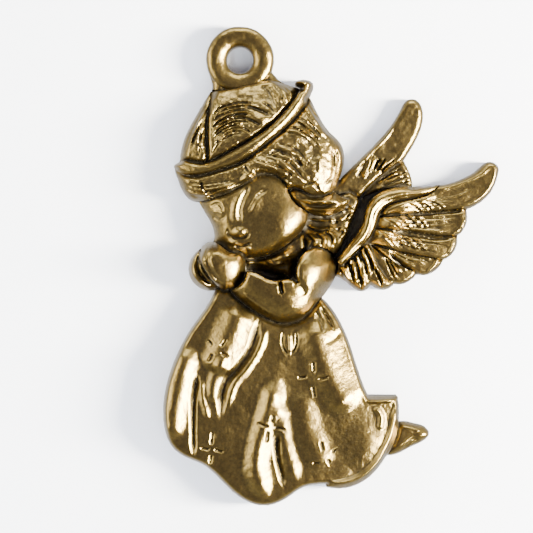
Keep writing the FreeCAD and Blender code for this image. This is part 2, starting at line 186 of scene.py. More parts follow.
# Strands and barbs: two guide lines, how many ridges lie between them, half width, height.
COMB_STEPS = 25
COMBS = {
    "crown_hair": [
        ([(-2.1, -4.4), (-1.5, -3.7), (0.2, -3.3), (1.6, -3.6), (2.5, -4.4)],
         [(-2.1, -7.2), (-1.3, -6.1), (-0.3, -5.7), (0.6, -6.1)], 9, 0.17, 0.12),
        ([(1.5, -2.0), (2.2, -2.7), (2.7, -3.9)],
         [(3.6, -2.0), (4.0, -2.5), (3.9, -3.5)], 4, 0.2, 0.08),
    ],
    "side_lock": [
        ([(-2.1, -2.8), (-2.9, -4.2), (-3.8, -6.0), (-4.2, -7.4)],
         [(-2.2, -4.0), (-2.5, -5.6), (-2.8, -7.5)], 3, 0.26, 0.16),
    ],
    "fringe": [
        ([(-4.4, -8.9), (-3.4, -9.3), (-2.0, -9.3), (-0.4, -9.0), (0.9, -8.3)],
         [(-4.0, -10.0), (-2.9, -10.3), (-1.6, -10.1), (-0.2, -9.6), (0.6, -9.2)], 3, 0.24, 0.12),
    ],
    "back_hair": [
        ([(0.6, -8.0), (1.6, -8.2), (2.8, -8.6), (3.8, -9.3), (4.9, -9.9)],
         [(2.6, -6.4), (3.6, -6.6), (4.6, -7.2), (5.2, -8.2), (5.6, -9.4)], 4, 0.2, 0.09),
        ([(2.9, -5.6), (3.8, -5.6), (4.8, -6.0), (5.6, -6.7)],
         [(4.9, -3.2), (5.6, -4.2), (6.3, -5.3), (6.9, -6.1)], 5, 0.18, 0.09),
    ],
    "nape_curl": [
        ([(3.9, -10.0), (5.0, -10.4), (6.4, -10.4), (7.6, -10.3)],
         [(4.6, -10.9), (5.6, -11.4), (6.8, -11.4), (7.8, -10.9)], 2, 0.28, 0.16),
    ],
    "second_feather": [
        ([(11.2, -11.6), (13.1, -11.6), (15.0, -11.5), (16.7, -11.3)],
         [(11.0, -12.5), (12.8, -12.8), (14.6, -13.0), (16.3, -12.9)], 4, 0.16, 0.07),
    ],
    "third_feather": [
        ([(11.0, -12.6), (13.1, -13.0), (15.0, -13.2), (16.2, -13.4)],
         [(10.5, -13.2), (12.4, -13.9), (14.2, -14.3), (15.6, -14.7)], 4, 0.15, 0.07),
    ],
    "fourth_feather": [
        ([(11.0, -13.7), (12.8, -14.3), (14.2, -14.6), (15.1, -15.0)],
         [(11.1, -14.4), (12.0, -15.1), (12.9, -15.6), (13.5, -15.9)], 3, 0.15, 0.07),
    ],
    "fifth_feather": [
        ([(10.8, -13.9), (11.7, -15.0), (12.6, -15.6), (13.1, -16.0)],
         [(10.7, -14.2), (11.1, -15.4), (11.4, -16.2), (11.7, -16.5)], 3, 0.15, 0.12),
    ],
    "leading_feather": [
        ([(13.4, -10.6), (15.0, -10.3), (16.6, -9.9), (18.0, -9.1)],
         [(12.6, -11.3), (14.2, -11.2), (15.9, -11.0), (17.2, -10.7)], 3, 0.16, 0.03),
    ],
    "wing_down": [
        ([(10.4, -13.4), (11.1, -15.0), (11.6, -16.3)],
         [(8.0, -15.1), (7.6, -15.7), (7.4, -16.3)], 5, 0.24, 0.12),
    ],
    "far_feather": [
        ([(12.4, -7.9), (11.4, -8.4), (10.2, -9.2)],
         [(12.9, -9.0), (11.7, -9.4), (10.2, -9.9)], 3, 0.16, 0.12),
    ],
    "far_wing": [
        ([(9.9, -7.0), (9.7, -7.8), (9.3, -8.8)],
         [(12.2, -7.5), (11.4, -8.0), (10.5, -8.7)], 4, 0.16, 0.16),
    ],
}

# Single tooled lines: centre line, half width, and height above the surface. Grooves are negative.
LINES = {
    "crown_hair": [
        ([(0.0, -3.85), (0.8, -3.7), (1.6, -3.95), (2.3, -4.3)], 0.2, -0.25),
        ([(0.6, -4.6), (1.2, -4.8), (1.6, -5.1)], 0.16, -0.15),
        ([(1.6, -3.25), (2.2, -3.6), (2.6, -4.1)], 0.14, -0.15),
    ],
    "fringe": [
        ([(-2.9, -9.1), (-2.7, -9.7), (-2.2, -10.2), (-1.8, -10.4)], 0.18, -0.25),
        ([(0.3, -8.0), (0.7, -8.5), (1.2, -8.9)], 0.16, -0.18),
    ],
    "side_lock": [
        ([(-2.4, -3.7), (-2.7, -4.8), (-2.9, -6.0), (-3.0, -7.3)], 0.16, -0.16),
    ],
    "back_hair": [
        ([(4.5, -9.7), (5.2, -10.1), (6.0, -10.5)], 0.24, 0.2),
        ([(5.4, -3.9), (6.1, -4.7), (6.8, -5.8)], 0.18, -0.25),
        ([(5.0, -4.6), (5.9, -5.6), (6.6, -6.2)], 0.18, -0.2),
        ([(7.15, -6.7), (7.3, -7.6), (7.1, -8.8)], 0.16, -0.22),
        ([(6.9, -6.8), (7.0, -7.8), (6.8, -8.9), (6.2, -9.4)], 0.2, -0.2),
        ([(2.2, -7.2), (2.9, -6.9), (3.3, -7.3)], 0.16, -0.2),
        ([(3.6, -7.8), (4.2, -7.6), (4.7, -8.1)], 0.16, -0.2),
        ([(4.6, -9.6), (5.4, -9.3), (5.9, -9.8)], 0.18, -0.2),
    ],
    "face": [
        ([(0.75, -9.5), (0.25, -10.4), (0.0, -11.3), (0.1, -12.2)], 0.26, -0.15),
        ([(0.3, -9.8), (-0.15, -10.6), (-0.4, -11.4), (-0.3, -12.3)], 0.4, 0.09),
        ([(2.1, -9.8), (1.5, -10.1), (1.05, -10.7), (0.65, -11.5)], 0.22, -0.12),
        ([(-2.2, -11.0), (-1.6, -10.8), (-1.2, -11.3)], 0.18, -0.12),
        ([(-2.0, -11.7), (-1.5, -12.0), (-1.0, -11.7)], 0.18, -0.14),
        ([(-2.1, -11.4), (-1.6, -11.4), (-1.2, -11.6)], 0.2, 0.1),
        ([(-0.9, -12.6), (-0.8, -13.1), (-0.3, -13.35), (0.4, -13.3), (0.8, -12.9)], 0.2, -0.2),
        ([(-0.4, -13.95), (0.2, -13.95), (0.9, -13.7)], 0.18, -0.22),
    ],
    "collar": [
        ([(0.4, -15.6), (1.6, -15.8), (2.9, -16.2), (3.8, -16.3)], 0.6, -0.7),
        ([(4.3, -14.8), (4.1, -15.6), (4.0, -16.4)], 0.5, -0.6),
        ([(2.3, -14.6), (3.4, -14.0), (4.4, -13.2)], 0.25, 0.25),
        ([(1.8, -14.9), (2.5, -15.3), (3.3, -15.2)], 0.2, 0.15),
    ],
    "near_hand": [
        ([(-2.4, -13.9), (-2.75, -14.6), (-2.6, -15.5), (-2.1, -16.3), (-1.5, -16.8)], 0.26, 0.3),
        ([(-2.0, -14.2), (-2.3, -14.9), (-2.1, -15.6), (-1.6, -16.3), (-1.0, -16.8)], 0.22, -0.16),
    ],
    "far_hand": [
        ([(-2.9, -14.0), (-3.4, -14.8), (-3.55, -15.6), (-3.2, -16.4), (-2.6, -16.9)], 0.2, 0.15),
        ([(-3.0, -14.4), (-3.15, -15.5), (-2.7, -16.3), (-2.0, -16.9)], 0.24, -0.45),
    ],
    "near_arm": [
        ([(0.6, -15.7), (1.6, -16.1), (2.6, -16.6)], 0.16, 0.14),
        ([(3.0, -16.5), (3.05, -17.0), (3.15, -17.5)], 0.24, -0.55),
        ([(4.0, -16.5), (4.5, -16.9), (4.9, -17.6)], 0.5, -0.16),
        ([(0.2, -17.4), (1.2, -18.2), (2.4, -19.0)], 0.3, 0.1),
    ],
    "skirt": [
        ([(-3.6, -21.4), (-4.4, -23.6), (-4.9, -26.0), (-5.0, -28.4)], 1.3, 0.5),
        ([(-3.1, -23.2), (-3.4, -25.2), (-3.45, -27.4), (-3.4, -29.6)], 0.32, -0.3),
        ([(-2.8, -23.8), (-2.75, -25.2), (-2.3, -26.8)], 0.35, 0.14),
        ([(0.1, -18.4), (-0.6, -20.0), (-1.2, -21.6), (-2.0, -23.4)], 1.7, 0.55),
        ([(-1.0, -22.0), (-1.85, -23.8), (-2.1, -25.6)], 0.7, 0.2),
        ([(1.5, -19.2), (0.9, -21.4), (-0.1, -22.9), (-0.8, -23.7), (-1.3, -24.8), (-1.4, -26.8)],
         0.4, -0.32),
        ([(2.0, -20.0), (1.4, -21.7), (0.5, -23.1), (-0.4, -24.2), (-0.9, -26.0)], 0.45, 0.18),
        ([(2.7, -23.6), (2.2, -26.0), (1.5, -28.4), (1.2, -30.4), (1.9, -32.8)], 1.2, 0.5),
        ([(2.8, -27.8), (2.75, -29.4), (3.3, -31.8)], 0.32, -0.25),
        ([(3.0, -25.4), (3.3, -28.4), (4.2, -31.4)], 0.9, 0.26),
        ([(4.4, -24.6), (5.1, -27.6), (6.4, -30.4)], 1.5, 0.24),
        ([(5.4, -19.4), (6.0, -21.8), (6.9, -24.0), (8.2, -26.2)], 2.0, 0.62),
        ([(6.3, -21.2), (7.0, -20.8), (7.6, -20.2)], 0.3, -0.07),
        ([(6.0, -18.4), (6.5, -19.3), (7.0, -20.2)], 0.2, -0.2),
        ([(5.6, -18.8), (6.0, -19.6), (6.2, -20.4)], 0.22, -0.16),
        ([(3.2, -20.3), (3.2, -21.3), (3.6, -22.1)], 0.14, -0.18),
        ([(3.7, -20.4), (3.75, -21.2), (3.75, -21.8)], 0.2, 0.14),
        ([(4.2, -20.3), (4.2, -21.2), (3.8, -22.1)], 0.14, -0.16),
    ],
    "turned_hem": [
        ([(9.4, -25.4), (10.4, -25.4), (11.5, -25.3)], 0.3, 0.25),
        ([(11.65, -25.4), (11.5, -26.7), (11.2, -27.9), (10.7, -29.0), (10.1, -30.0), (9.3, -30.8),
          (8.3, -31.3), (7.2, -31.5), (6.4, -31.3)], 0.36, 0.35),
        ([(10.0, -25.8), (10.5, -26.6), (10.4, -27.6)], 0.4, 0.2),
    ],
    "foot": [
        ([(12.0, -27.3), (12.8, -27.5), (13.5, -27.7)], 0.24, 0.1),
        ([(12.2, -29.1), (12.8, -28.5), (13.4, -28.2)], 0.22, -0.12),
    ],
    "far_wing": [
        ([(7.8, -8.7), (8.9, -7.9), (9.8, -6.9), (11.0, -5.7), (11.9, -4.2), (12.5, -3.3)], 0.18, 0.14),
        ([(9.9, -7.1), (9.7, -7.9), (9.2, -8.9)], 0.18, 0.22),
        ([(10.2, -7.3), (9.9, -8.3)], 0.16, 0.16),
        ([(9.4, -7.4), (9.1, -8.2), (8.8, -8.8)], 0.2, -0.15),
    ],
    "wing_ridge": [
        ([(7.9, -14.8), (8.6, -14.1), (9.3, -13.5), (9.75, -12.6), (9.95, -11.5), (10.5, -10.8),
          (11.25, -10.5), (12.4, -10.2), (13.5, -10.1)], 0.2, -0.1),
    ],
    "leading_feather": [
        ([(10.6, -12.0), (11.1, -11.2), (11.9, -10.8), (12.9, -10.6), (13.8, -10.4), (14.6, -10.1)],
         0.55, 0.4),
        ([(14.6, -9.6), (15.9, -9.4), (17.1, -9.0), (18.1, -8.5), (18.8, -8.0)], 0.2, 0.06),
        ([(19.1, -8.1), (19.0, -9.0), (18.6, -9.7), (18.0, -10.3), (17.1, -10.8), (16.2, -11.0)],
         0.26, 0.08),
    ],
    "second_feather": [
        ([(12.6, -11.6), (14.2, -11.5), (15.8, -11.4), (16.8, -11.3)], 0.18, -0.3),
        ([(16.7, -11.5), (16.8, -12.0), (16.5, -12.7)], 0.2, 0.14),
    ],
    "third_feather": [
        ([(10.8, -12.7), (12.0, -13.0), (13.5, -13.2), (15.0, -13.4), (16.0, -13.3)], 0.18, -0.25),
        ([(16.0, -13.5), (15.9, -14.0), (15.6, -14.5)], 0.2, 0.14),
    ],
    "fourth_feather": [
        ([(11.2, -14.4), (11.7, -15.0), (12.3, -15.5), (12.9, -15.8)], 0.22, -0.35),
        ([(14.8, -14.8), (14.5, -15.4), (14.0, -15.9)], 0.2, 0.14),
    ],
}

# Short overlapping tufts, each from its root to its tip, after their half width and height.
TUFTS = {
    "wing_down": (0.24, 0.24, [
        [(10.3, -13.3), (10.8, -14.0), (11.2, -14.9)], [(9.8, -13.6), (10.3, -14.4), (10.7, -15.4)],
        [(9.4, -13.9), (9.9, -14.8), (10.2, -15.8)], [(9.0, -14.2), (9.5, -15.1), (9.7, -16.1)],
        [(8.6, -14.5), (9.0, -15.4), (9.2, -16.4)], [(8.1, -14.8), (8.5, -15.6), (8.7, -16.6)],
        [(10.9, -15.0), (11.2, -15.8), (11.5, -16.5)], [(10.2, -15.4), (10.6, -16.2), (10.8, -16.9)],
        [(9.2, -16.1), (9.3, -16.8), (9.3, -17.1)], [(7.6, -15.4), (7.9, -16.1), (8.1, -16.6)],
    ]),
    "shoulder_feathers": (0.24, 0.2, [
        [(5.3, -11.9), (6.2, -12.1), (7.1, -12.0)], [(5.1, -12.4), (6.0, -12.7), (7.0, -12.6)],
        [(7.2, -12.1), (8.0, -11.9), (8.5, -11.4)], [(5.1, -13.0), (5.6, -13.5), (5.4, -14.0)],
        [(5.8, -12.9), (6.3, -13.3), (6.3, -13.9)], [(6.5, -12.8), (7.0, -13.2), (7.1, -13.9)],
        [(7.3, -12.6), (7.9, -12.8), (7.4, -13.4)], [(7.5, -10.9), (8.0, -11.1), (8.5, -10.9)],
        [(6.2, -11.7), (7.0, -11.6), (7.9, -11.2)],
    ]),
    "second_feather": (0.2, 0.09, [
        [(10.9, -11.8), (11.6, -12.2), (12.3, -12.8)], [(11.6, -11.5), (12.3, -12.0), (12.9, -12.7)],
        [(12.3, -11.4), (12.9, -11.9), (13.5, -12.5)], [(13.1, -11.7), (13.6, -12.0), (14.0, -12.6)],
    ]),
    "third_feather": (0.2, 0.09, [
        [(10.5, -12.7), (11.2, -13.3), (11.7, -13.9)], [(11.3, -12.7), (11.9, -13.3), (12.4, -14.0)],
        [(12.0, -12.9), (12.6, -13.5), (13.2, -14.1)], [(12.9, -13.2), (13.4, -13.7), (13.9, -14.2)],
    ]),
    "leading_feather": (0.18, 0.1, [
        [(12.6, -10.7), (13.2, -10.9), (13.6, -11.3)], [(13.4, -10.7), (14.0, -10.8), (14.4, -11.2)],
        [(14.2, -10.5), (14.8, -10.7), (15.3, -11.1)],
    ]),
}

# Stars stamped in the skirt: each is a list of petals, from one end to the other.
STARS = [
    [((-2.3, -20.9), (-2.0, -21.3)), ((-1.4, -21.4), (-0.95, -20.8)),
     ((-2.3, -22.5), (-1.95, -21.9)), ((-1.4, -21.8), (-0.8, -22.1))],
    [((5.45, -22.5), (5.5, -23.3)), ((4.3, -23.7), (5.0, -23.6)),
     ((5.8, -23.8), (6.6, -23.6)), ((5.4, -24.3), (5.6, -25.2))],
    [((1.3, -27.0), (2.2, -27.3)), ((2.5, -27.3), (3.4, -27.5)),
     ((2.5, -26.4), (2.4, -27.0)), ((2.1, -27.6), (2.0, -28.5))],
    [((-2.0, -27.7), (-2.1, -28.7)), ((-2.9, -28.9), (-2.2, -29.0)),
     ((-1.9, -29.0), (-1.2, -29.2)), ((-2.1, -29.4), (-2.2, -30.1))],
    [((6.0, -28.4), (6.2, -29.1)), ((6.8, -29.2), (7.4, -29.0)),
     ((6.5, -29.7), (6.9, -30.4)), ((5.4, -30.0), (6.0, -30.0))],
]
PETAL_HALF_WIDTH = 0.2
PETAL_DEPTH = 0.17
PETAL_LIP = 0.07


# ---- curves and fields ----

def smooth_run(points, per_span=8):
    """A Catmull-Rom curve through the points, as an array of points."""
    p = np.array(points, float)
    if len(p) < 3:
        return p
    p = np.vstack([2 * p[0] - p[1], p, 2 * p[-1] - p[-2]])
    t = np.linspace(0, 1, per_span, endpoint=False)[:, None]
    spans = [
        0.5 * (2 * b + (c - a) * t + (2 * a - 5 * b + 4 * c - d) * t**2 + (3 * b - a - 3 * c + d) * t**3)
        for a, b, c, d in zip(p[:-3], p[1:-2], p[2:-1], p[3:])
    ]
    return np.vstack(spans + [p[-2:-1]])


def resample(points, count):
    """The smooth curve through the points, cut into equal steps."""
    run = smooth_run(points)
    along = np.concatenate([[0], np.cumsum(np.linalg.norm(np.diff(run, axis=0), axis=1))])
    at = np.linspace(0, along[-1], count)
    return np.column_stack([np.interp(at, along, run[:, k]) for k in (0, 1)])


def closed_segments(runs):
    """The segments of a closed outline made of smooth runs."""
    loop = np.vstack([smooth_run(run)[:-1] for run in runs])
    return np.hstack([loop, np.roll(loop, -1, axis=0)])


def nearest_on(points, segments, block=12000):
    """For each point: distance to the segments, the nearest point, and which segment it is on."""
    distance = np.full(len(points), 1e9)
    nearest = np.zeros((len(points), 2))
    which = np.zeros(len(points), int)
    if len(segments) == 0:
        return distance, nearest, which
    start, run = segments[:, :2], segments[:, 2:] - segments[:, :2]
    length2 = np.maximum((run**2).sum(1), 1e-12)
    for k in range(0, len(points), block):
        p = points[k:k + block, None, :]
        t = np.clip(((p - start) * run).sum(2) / length2, 0, 1)
        q = start + t[..., None] * run
        d2 = ((p - q) ** 2).sum(2)
        best = d2.argmin(1)
        rows = np.arange(len(best))
        distance[k:k + block] = np.sqrt(d2[rows, best])
        nearest[k:k + block] = q[rows, best]
        which[k:k + block] = best
    return distance, nearest, which


def inside(points, segments):
    """Whether each point lies inside the closed outline."""
    x, z = points.T
    odd = np.zeros(len(points), bool)
    for x0, z0, x1, z1 in segments:
        if z0 == z1:
            continue
        crosses = (z0 > z) != (z1 > z)
        odd ^= crosses & (x < x0 + (z - z0) * (x1 - x0) / (z1 - z0))
    return odd


def smoothstep(t):
    t = np.clip(t, 0, 1)
    return t * t * (3 - 2 * t)


def rounded(t):
    """Profile of a rounded edge: 0 at the border, 1 and level at t = 1."""
    t = np.clip(t, 0, 1)
    return np.sqrt(np.clip(1 - (1 - t) ** 2, 0, 1))


def value_noise(x, z, cell, seed):
    """Smooth noise from -1 to 1 with features about one cell across."""
    rng = np.random.default_rng(seed)
    table = rng.uniform(-1, 1, (64, 64))
    u, v = x / cell, z / cell
    i, j = np.floor(u).astype(int), np.floor(v).astype(int)
    a, b = smoothstep(u - i), smoothstep(v - j)
    i, j = i % 64, j % 64
    k, m = (i + 1) % 64, (j + 1) % 64
    low = table[i, j] * (1 - a) + table[k, j] * a
    high = table[i, m] * (1 - a) + table[k, m] * a
    return low * (1 - b) + high * b


def blurred(values, cells):
    """A Gaussian blur of a grid, one axis at a time."""
    reach = int(3 * cells)
    weights = np.exp(-0.5 * (np.arange(-reach, reach + 1) / cells) ** 2)
    weights /= weights.sum()
    for axis in (0, 1):
        moved = np.moveaxis(values, axis, 0)
        padded = np.concatenate([moved[:1].repeat(reach, 0), moved, moved[-1:].repeat(reach, 0)])
        moved = sum(w * padded[k:k + len(moved)] for k, w in enumerate(weights))
        values = np.moveaxis(moved, 0, axis)
    return values


# ---- the grid and its elements ----

class Grid:
    """A regular grid over the front: the foremost element at each point, and its height."""

    def __init__(self, low, high):
        self.x = np.arange(low[0], high[0], STEP)
        self.z = np.arange(low[1], high[1], STEP)
        self.label = np.full((len(self.z), len(self.x)), -1)
        self.height = np.zeros(self.label.shape)

    def window(self, segments, margin):
        """Row and column slices that hold the segments and a margin."""
        x = segments[:, [0, 2]]
        z = segments[:, [1, 3]]
        i0, i1 = np.searchsorted(self.z, (z.min() - margin, z.max() + margin))
        j0, j1 = np.searchsorted(self.x, (x.min() - margin, x.max() + margin))
        return slice(i0, i1), slice(j0, j1)

    def label_at(self, points):
        j = np.clip(np.round((points[:, 0] - self.x[0]) / STEP).astype(int), 0, len(self.x) - 1)
        i = np.clip(np.round((points[:, 1] - self.z[0]) / STEP).astype(int), 0, len(self.z) - 1)
        return self.label[i, j]


class Element:
    """One sculpted element: its outline, its window of the grid, and distances to its border."""

    def __init__(self, name, segments, grid):
        self.name = name
        self.rank = RANK[name]
        self.look = ELEMENTS[name]
        self.segments = segments
        self.rows, self.cols = grid.window(segments, 0.5)
        self.x, self.z = np.meshgrid(grid.x[self.cols], grid.z[self.rows])
        self.points = np.column_stack([self.x.ravel(), self.z.ravel()])
        away, near, which = nearest_on(self.points, segments)
        sign = np.where(inside(self.points, segments), 1, -1)
        self.phi = (away * sign).reshape(self.x.shape)
        self.near = near.reshape(self.x.shape + (2,))
        self.which = which.reshape(self.x.shape)

    def sort_border(self, grid):
        """Marks each border segment by what lies beyond it.

        That is nothing at a rim, an element behind at an open, crisp or flush border, one in front
        where it goes under, or the element itself round a gap that it fills.
        """
        a, b = self.segments[:, :2], self.segments[:, 2:]
        middle = (a + b) / 2
        side = np.column_stack([-(b - a)[:, 1], (b - a)[:, 0]])
        side /= np.maximum(np.linalg.norm(side, axis=1), 1e-9)[:, None]
        side *= np.where(inside(middle + 0.02 * side, self.segments), -1, 1)[:, None]
        beyond = grid.label_at(middle + 1.6 * STEP * side)
        self.kind = np.where(beyond < 0, "rim", np.where(beyond > self.rank, "under", "open"))
        self.kind[np.isin(beyond, [RANK[name] for name in self.look.crisp])] = "crisp"
        if self.look.flush:
            self.kind[beyond == RANK[self.look.flush]] = "flush"
        self.kind[beyond == self.rank] = "inner"

    def distance_to(self, segments):
        return nearest_on(self.points, segments)[0].reshape(self.x.shape)

    def away_from(self, kind):
        """Distance to the border segments of a kind, and far away where there are none."""
        return self.distance_to(self.segments[self.kind == kind])


def edges_of(triangles):
    return np.vstack([triangles[:, [0, 1]], triangles[:, [1, 2]], triangles[:, [2, 0]]])


def back_outline(name):
    """The border of a CAD node's flat back, in the x-z plane, as segments in millimetres."""
    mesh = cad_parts[name].data
    co = np.zeros(len(mesh.vertices) * 3)
    mesh.vertices.foreach_get("co", co)
    co = np.round(co.reshape(-1, 3) / MM, 3)
    mesh.calc_loop_triangles()
    corners = np.zeros(len(mesh.loop_triangles) * 3, int)
    mesh.loop_triangles.foreach_get("vertices", corners)
    places, weld = np.unique(co, axis=0, return_inverse=True)
    triangles = weld.reshape(-1)[corners.reshape(-1, 3)]
    triangles = triangles[(np.abs(places[triangles][:, :, 1] - BACK) < FLAT).all(1)]
    edges, count = np.unique(np.sort(edges_of(triangles), axis=1), axis=0, return_counts=True)
    edges = edges[count == 1]
    return np.hstack([places[edges[:, 0]][:, [0, 2]], places[edges[:, 1]][:, [0, 2]]])


def beside(values, outside):
    """The grid's values moved by one cell each way."""
    padded = np.pad(values, 1, constant_values=outside)
    return padded[:-2, 1:-1], padded[2:, 1:-1], padded[1:-1, :-2], padded[1:-1, 2:]


def close_gaps(grid, elements):
    """Gives each enclosed sliver between outlines to its rearmost neighbour, as metal would fill it."""
    empty = grid.label < 0
    outside = np.zeros(empty.shape, bool)
    outside[0, 0] = True
    while True:
        grown = outside | (empty & np.logical_or.reduce(beside(outside, False)))
        if (grown == outside).all():
            break
        outside = grown
    gap = empty & ~outside
    nobody = len(ELEMENTS)
    owner = np.minimum.reduce([np.where(label < 0, nobody, label) for label in beside(grid.label, -1)])
    owner = np.where(gap, owner, nobody)
    while True:
        lowest = np.where(gap, np.minimum(owner, np.minimum.reduce(beside(owner, nobody))), nobody)
        if (lowest == owner).all():
            break
        owner = lowest
    grid.label[gap] = owner[gap]
    for element in elements:
        mine = (gap & (grid.label == element.rank))[element.rows, element.cols]
        for _ in range(3):
            mine = mine | np.logical_or.reduce(beside(mine, False))
        element.phi = np.where(mine, np.maximum(element.phi, -TUCK / 2), element.phi)


# ---- the relief ----

def dome(name, x, z):
    (cx, cz), (rx, rz), base, rise = DOMES[name]
    return base + rise * np.sqrt(np.clip(1 - ((x - cx) / rx) ** 2 - ((z - cz) / rz) ** 2, 0, 1))


def spine(name, x):
    """Height of a band that follows x, smoothed between its listed stations."""
    at, height = np.array(SPINES[name]).T
    return sum(np.interp(x + shift, at, height) for shift in (-0.6, -0.3, 0, 0.3, 0.6)) / 5


def top_surface(element):
    x, z = element.x, element.z
    top = element.look.top
    if isinstance(top, tuple):
        return dome(top[0], x, z) + top[1]
    if top in SPINES:
        return spine(top, x)
    if top in DOMES:
        return dome(top, x, z)
    return np.full(x.shape, float(top))


def mound(x, z, centre, size, turn, height):
    c, s = math.cos(math.radians(turn)), math.sin(math.radians(turn))
    dx, dz = x - centre[0], z - centre[1]
    u, v = (c * dx + s * dz) / size[0], (c * dz - s * dx) / size[1]
    return height * smoothstep(1 - np.sqrt(u**2 + v**2))


def tool(element, surface, line, half_width, height):
    """Adds one ridge or groove, tapering out at both ends."""
    run = resample(line, max(8, 4 * len(line))) if len(line) > 2 else np.array(line, float)
    low, high = run.min(0) - half_width, run.max(0) + half_width
    near = (element.x > low[0]) & (element.x < high[0]) & (element.z > low[1]) & (element.z < high[1])
    if not near.any():
        return
    points = np.column_stack([element.x[near], element.z[near]])
    segments = np.hstack([run[:-1], run[1:]])
    away, at, which = nearest_on(points, segments)
    part = np.linalg.norm(at - run[which], axis=1) / np.maximum(
        np.linalg.norm(run[which + 1] - run[which], axis=1), 1e-9)
    along = (which + part) / len(segments)
    taper = smoothstep(np.minimum(along, 1 - along) / 0.18 + 0.12)
    t = np.clip(away / (half_width * (0.55 + 0.45 * taper)), 0, 1)
    profile = 0.5 + 0.5 * np.cos(math.pi * t) if height > 0 else (1 - t) ** 1.2
    surface[near] += height * taper * profile


def comb(element, surface, first, last, count, half_width, height, seed):
    """Strands spread between two guide lines, each a little crooked and broken, with grooves between."""
    rng = np.random.default_rng(seed)
    a, b = resample(first, COMB_STEPS), resample(last, COMB_STEPS)
    for k in range(2 * count + 1):
        t = k / (2 * count)
        skew = np.linspace(rng.uniform(-1, 1), rng.uniform(-1, 1), COMB_STEPS)[:, None] / (4 * count)
        line = a + (b - a) * np.clip(t + skew, 0, 1)
        start, stop = int(rng.integers(0, 8)), int(rng.integers(17, 26))
        size = height * rng.uniform(0.6, 1.4)
        if k % 2:
            tool(element, surface, line[start:stop:2], half_width * rng.uniform(0.8, 1.3), size)
        else:
            groove = line[max(start - 4, 0):stop:2]
            tool(element, surface, groove, half_width * rng.uniform(0.6, 0.9), -1.3 * size)


def tufts(element, surface, half_width, rise, lines):
    """Short overlapping tufts: a raised barb with a cut along its lower side."""
    for line in lines:
        tool(element, surface, line, half_width, rise)
        cut = [(x - 0.9 * half_width, z - 0.3 * half_width) for x, z in line]
        tool(element, surface, cut, half_width * 0.6, -rise)


def stamp_stars(element, surface):
    """Stamps every petal into the surface, with a slight lip round it."""
    for star in STARS:
        for petal in star:
            tool(element, surface, list(petal), 1.8 * PETAL_HALF_WIDTH, PETAL_LIP)
            tool(element, surface, list(petal), PETAL_HALF_WIDTH, -PETAL_DEPTH - PETAL_LIP)


def sculpt(element, rim_segments):
    """The element's height above the back over its window."""
    look = element.look
    surface = top_surface(element)
    for name in (element.name, look.flush):
        for item in MOUNDS.get(name, []):
            surface += mound(element.x, element.z, *item)
        for item in LINES.get(name, []):
            tool(element, surface, *item)
        for k, item in enumerate(COMBS.get(name, [])):
            comb(element, surface, *item, seed=31 * RANK[name] + k)
    if element.name in TUFTS:
        tufts(element, surface, *TUFTS[element.name])
    if element.name == "skirt":
        stamp_stars(element, surface)
    for height, cell, seed in WAVES:
        surface += height * value_noise(element.x, element.z, cell, seed)
    for share, cell, seed in ROUGHNESS:
        surface += share * look.rough * value_noise(element.x, element.z, cell, seed)

    surface -= look.crease * np.exp(-(element.away_from("under") / CREASE_WIDTH) ** 2)
    for kind, (width, depth) in (("open", look.edge), ("crisp", CRISP)):
        surface -= depth * (1 - rounded(element.away_from(kind) / width))
    low, high = element.points.min(0) - RIM_REACH, element.points.max(0) + RIM_REACH
    close = (rim_segments[:, 0] > low[0]) & (rim_segments[:, 0] < high[0])
    close &= (rim_segments[:, 1] > low[1]) & (rim_segments[:, 1] < high[1])
    width, floor = look.rim
    floor = np.minimum(floor, surface)
    return floor + (surface - floor) * rounded(element.distance_to(rim_segments[close]) / width)


# ---- meshes ----

# The flat back's slight unevenness, and its patina from 0 to 1.
BACK_WAVE = 0.012
BACK_PATINA = 0.1
# Faces that meet at more than this are shaded with an edge between them.
SHARP_ANGLE = math.radians(50)


def grid_triangles(keep, ids):
    """Triangles over the kept points of a window, one or two to a cell."""
    a, b = ids[:-1, :-1], ids[:-1, 1:]
    c, d = ids[1:, 1:], ids[1:, :-1]
    ka, kb, kc, kd = keep[:-1, :-1], keep[:-1, 1:], keep[1:, 1:], keep[1:, :-1]
    full = ka & kb & kc & kd
    odd = (np.add.outer(np.arange(full.shape[0]), np.arange(full.shape[1])) % 2).astype(bool)
    chosen = [
        (full & odd, (a, b, c)), (full & odd, (a, c, d)),
        (full & ~odd, (a, b, d)), (full & ~odd, (b, c, d)),
        (ka & kb & kc & ~kd, (a, b, c)), (ka & kc & kd & ~kb, (a, c, d)),
        (ka & kb & kd & ~kc, (a, b, d)), (kb & kc & kd & ~ka, (b, c, d)),
    ]
    return np.vstack([np.column_stack([corner[mask] for corner in corners]) for mask, corners in chosen])


def border_edges(triangles):
    """Directed edges that belong to one triangle only."""
    edges = edges_of(triangles)
    _, back, count = np.unique(np.sort(edges, axis=1), axis=0, return_inverse=True, return_counts=True)
    return edges[count[back.reshape(-1)] == 1]


def largest_patch(triangles, count):
    """Only the triangles of the biggest connected patch."""
    label = np.arange(count)
    while True:
        low = label[triangles].min(axis=1)
        new = label.copy()
        for k in range(3):
            np.minimum.at(new, triangles[:, k], low)
        new = new[new]
        if (new == label).all():
            break
        label = new
    mine = label[triangles[:, 0]]
    return triangles[mine == np.bincount(mine).argmax()]


def without_pinches(triangles, count):
    """Drops triangles round points where two borders touch, so that every wall is clean."""
    for _ in range(12):
        triangles = largest_patch(triangles, count)
        uses = np.bincount(border_edges(triangles)[:, 0], minlength=count)
        pinched = uses > 1
        if not pinched.any():
            break
        triangles = triangles[~pinched[triangles].any(axis=1)]
    return triangles


